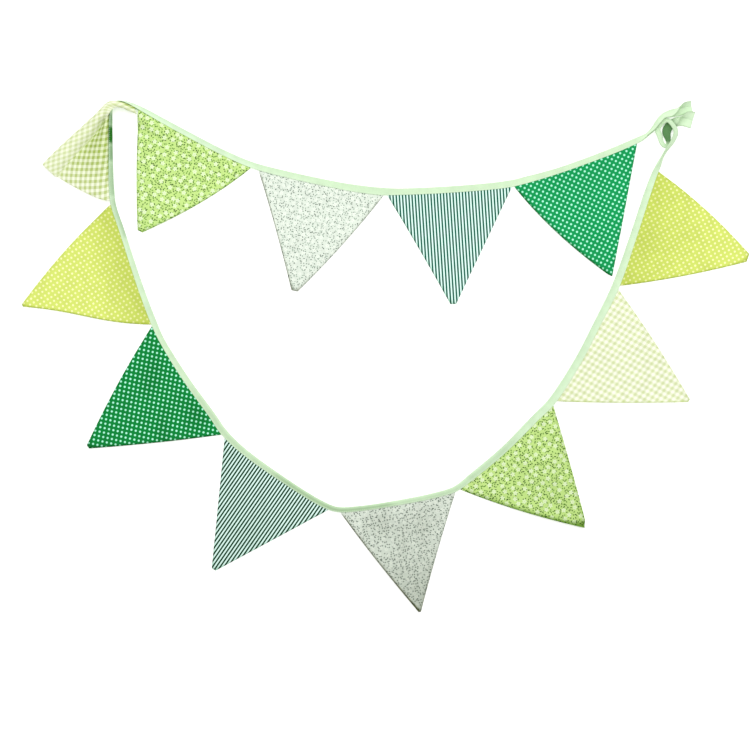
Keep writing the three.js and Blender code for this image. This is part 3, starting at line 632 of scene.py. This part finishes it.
cornerFlag = {
    "node": "flag_05_gingham", "from": 938.5, "to": 1131, "columns": 64, "flatRows": 24, "rollRows": 30,
    "clear": 1.5, "edgeHigh": 1.7, "ease": (0.45, 2, 16), "base": 90.7, "grain": (90.7, -6), "stretch": 1.3,
    # share of the top edge where the edge of the roll starts to stand up, and over what share
    "standsUp": (0.72, 0.12),
    # rows, as shares of the flat ones, where the painted shade changes to that of the roll, and over how many
    "overFrom": (0.7, 0.45),
    # painted shade, plain and as a fuller dye, of the flat part, from one end of the top edge to the share
    # flatEnd
    "flatShade": (0.15, 0.7), "flatShadeByDye": (0.6, 1), "flatEnd": 0.4,
    # painted shades, plain and as a fuller dye, of the roll, where along the top edge the shade changes, and over
    # what share
    "rollShade": (0.28, 0.5), "rollShadeByDye": 0.14, "rollFrom": (0.75, 0.15),
    # share of the top edge; direction and length that lie flat; direction, width, height and turn of the roll
    "curl": (
        (0, 156, 92, 137, 29, 9, -90, 205), (0.25, 156, 57, 138, 26, 12, -90, 205),
        (0.5, 156, 21, 140, 23, 16, -90, 195), (0.62, 148, 4, 142, 21, 20, -80, 138),
        (0.72, 138, -7, 138, 19, 22, -35, 135), (0.82, 120, -11, 120, 14, 19, 45, 145),
        (0.92, 104, -11, 104, 11, 16, 68, 155), (1, 110, -8.5, 110, 7, 12.5, 90, 150),
    ),
}


# One line of cloth from inside the tape, out over the surface and round the roll.
@lru_cache(maxsize=None)
def curlLine(share):
    at = tapeAt(lerp(cornerFlag["to"], cornerFlag["from"], share))
    curl = cornerFlag["curl"]
    i = max(min(bisect([row[0] for row in curl], share), len(curl) - 1), 1)
    part = (share - curl[i - 1][0]) / (curl[i][0] - curl[i - 1][0])
    mixed = [lerp(before, after, part) for before, after in zip(curl[i - 1], curl[i])]
    lie, flatReach, heading, wide, high, start, end = mixed[1:]
    outward = compass(heading)
    mouth = at.fold + at.across * (at.width + cornerFlag["clear"])
    middle = mouth + compass(lie) * flatReach + outward * wide / 2
    middle.z = high / 2
    level, tall = outward * wide / 2, up * (high - tape["flagThick"]) / 2
    rollRows = cornerFlag["rollRows"]
    turns = [math.radians(lerp(start, end, k / rollRows)) for k in range(rollRows + 1)]
    rolled = [middle + level * math.cos(turn) + tall * math.sin(turn) for turn in turns]
    standsAt, standsOver = cornerFlag["standsUp"]
    laidDown = smooth((standsAt - share) / standsOver)
    for point, turn in zip(rolled, turns):
        back = smooth((turn - math.pi / 2) / (turns[-1] - math.pi / 2))
        point.z = lerp(point.z, cornerFlag["edgeHigh"], back * laidDown)
    arrive = (tall * math.cos(turns[0]) - level * math.sin(turns[0])).normalized()
    easeShare, least, most = cornerFlag["ease"]
    ease = min(max(easeShare * (mouth - rolled[0]).length, least), most)
    flat = interpolate_bezier(mouth, mouth + at.across * ease, rolled[0] - arrive * ease, rolled[0],
                              cornerFlag["flatRows"] + 1)
    line = [at.fold + at.across * flagCloth["heading"], *flat, *rolled[1:]]
    lengths = [-at.width]
    for before, after in zip(line, line[1:]):
        lengths.append(lengths[-1] + (after - before).length)
    # where each point was on the flat cloth: out along the part that lies flat, then straight on
    sewn = compass(cornerFlag["base"]) * share * (cornerFlag["to"] - cornerFlag["from"])
    bend = max(flatReach, 0)
    beyond = outward * cornerFlag["stretch"]
    unrolled = [sewn + compass(lie) * min(length, bend) + beyond * max(length - bend, 0) for length in lengths]
    return line, unrolled


def cornerPoint(u, v):
    line, unrolled = curlLine(u)
    row = round(v * (len(line) - 1))
    point = line[row].copy()
    point.z = max(point.z, flagCloth["thick"] / 2)
    flatPoint = [unrolled[row].dot(compass(turn)) for turn in cornerFlag["grain"]]
    # painted shade: on the flat part it deepens towards the top end; the roll has its own shade and a paler dye
    begin, span = (share * cornerFlag["flatRows"] for share in cornerFlag["overFrom"])
    over = smooth((row - begin) / span)
    along = min(u / cornerFlag["flatEnd"], 1)
    rollFrom, rollOver = cornerFlag["rollFrom"]
    rollShade = lerp(*cornerFlag["rollShade"], smooth((u - rollFrom) / rollOver))
    deep = lerp(lerp(*cornerFlag["flatShade"], along), rollShade, over)
    return point, flatPoint, deep, lerp(lerp(*cornerFlag["flatShadeByDye"], along), cornerFlag["rollShadeByDye"], over)


cornerRows = 1 + cornerFlag["flatRows"] + cornerFlag["rollRows"]
cornerCloth = clothGrid("Flag05GinghamCloth", cornerFlag["columns"], cornerRows, flagCloth["thick"],
                        cornerPoint)
dress(cornerCloth, cornerFlag["node"], "gingham")
print("rolled flag made")

# Stitches along the open edge of the tape

stitch = {"first": 96, "last": 2574, "pitch": 3.2, "size": (1.25, 0.3, 0.24), "fromEdge": 1.5, "offSlot": 0.85,
          "thread": "#dff0d6", "rough": 0.7, "ply": 0.4, "darkPly": 0.85}
bm = bmesh.new()
bmesh.ops.create_uvsphere(bm, u_segments=6, v_segments=4, radius=1)
oneStitch = bpy.data.meshes.new("oneStitch")
bm.to_mesh(oneStitch)
bm.clear()
count = int((stitch["last"] - stitch["first"]) / stitch["pitch"])
for k in range(count):
    at = tapeAt(stitch["first"] + k * stitch["pitch"])
    turn = Matrix((at.along, at.across, at.face)).transposed().to_4x4()
    for side in (1, -1):
        spot = at.fold + at.across * (at.width - stitch["fromEdge"])
        spot += at.face * side * (at.slot / 2 + stitch["offSlot"])
        laid = oneStitch.copy()
        laid.transform(Matrix.Translation(spot) @ turn @ Matrix.Diagonal((*stitch["size"], 1)))
        bm.from_mesh(laid)
        bpy.data.meshes.remove(laid)
bpy.data.meshes.remove(oneStitch)
bmesh.ops.scale(bm, vec=(mm, mm, mm), verts=bm.verts)
for face in bm.faces:
    face.smooth = True
mesh = bpy.data.meshes.new("tapeStitches")
bm.to_mesh(mesh)
bm.free()
stitches = bpy.data.objects.new("tapeStitches", mesh)
scene.collection.objects.link(stitches)
thread = bpy.data.materials.new("spun cotton sewing thread")
thread.use_nodes = True
tree = thread.node_tree
surface = tree.nodes["Principled BSDF"]
surface.inputs["Roughness"].default_value = stitch["rough"]
place = addNode(tree, "TexCoord", {})
ply = addNode(tree, "TexNoise", {"Vector": place.outputs["Object"], "Scale": 1 / (stitch["ply"] * mm)})
tone = addNode(tree, "MapRange", {"Value": ply, "To Min": stitch["darkPly"], "To Max": 1.0})
dyed = addNode(tree, "VectorMath", {0: hexColour(stitch["thread"])[:3], "Scale": tone}, operation="SCALE")
tree.links.new(dyed.outputs[0], surface.inputs["Base Color"])
stitches.data.materials.append(thread)
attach(stitches, "root")
print("stitches made:", 2 * count)

# Floor, light and camera

studio = {
    "floor": "#f7f7f5", "floorHalf": 4, "floorDrop": 0.0003, "floorRough": 0.9, "glow": 0.3, "sky": 0.6,
    "key": 26, "keyAt": (0.05, 0.6, 1.5), "keySize": 2.2,
    "centre": (-0.01587, -0.03095), "field": 1.190476, "eye": 2.4, "sensor": 36,
}
bm = bmesh.new()
bmesh.ops.create_grid(bm, x_segments=1, y_segments=1, size=studio["floorHalf"])
mesh = bpy.data.meshes.new("floor")
bm.to_mesh(mesh)
bm.free()
floor = bpy.data.objects.new("floor", mesh)
floor.location.z = -studio["floorDrop"]
scene.collection.objects.link(floor)
paper = bpy.data.materials.new("white background paper")
paper.use_nodes = True
surface = paper.node_tree.nodes["Principled BSDF"]
surface.inputs["Base Color"].default_value = hexColour(studio["floor"])
surface.inputs["Roughness"].default_value = studio["floorRough"]
surface.inputs["Emission Color"].default_value = (1, 1, 1, 1)
surface.inputs["Emission Strength"].default_value = studio["glow"]
floor.data.materials.append(paper)

world = bpy.data.worlds.new("soft white studio")
world.use_nodes = True
world.node_tree.nodes["Background"].inputs["Color"].default_value = (1, 1, 1, 1)
world.node_tree.nodes["Background"].inputs["Strength"].default_value = studio["sky"]
scene.world = world

lamp = bpy.data.lights.new("key", "AREA")
lamp.energy = studio["key"]
lamp.size = studio["keySize"]
key = bpy.data.objects.new("key", lamp)
key.location = studio["keyAt"]
key.rotation_euler = (-key.location).to_track_quat("-Z", "Y").to_euler()
scene.collection.objects.link(key)

lens = bpy.data.cameras.new("camera")
lens.sensor_width = studio["sensor"]
lens.lens = studio["sensor"] * studio["eye"] / studio["field"]
camera = bpy.data.objects.new("camera", lens)
camera.location = (*studio["centre"], studio["eye"])
scene.collection.objects.link(camera)
scene.camera = camera
scene.view_settings.view_transform = "Standard"
print("floor, light and camera set")
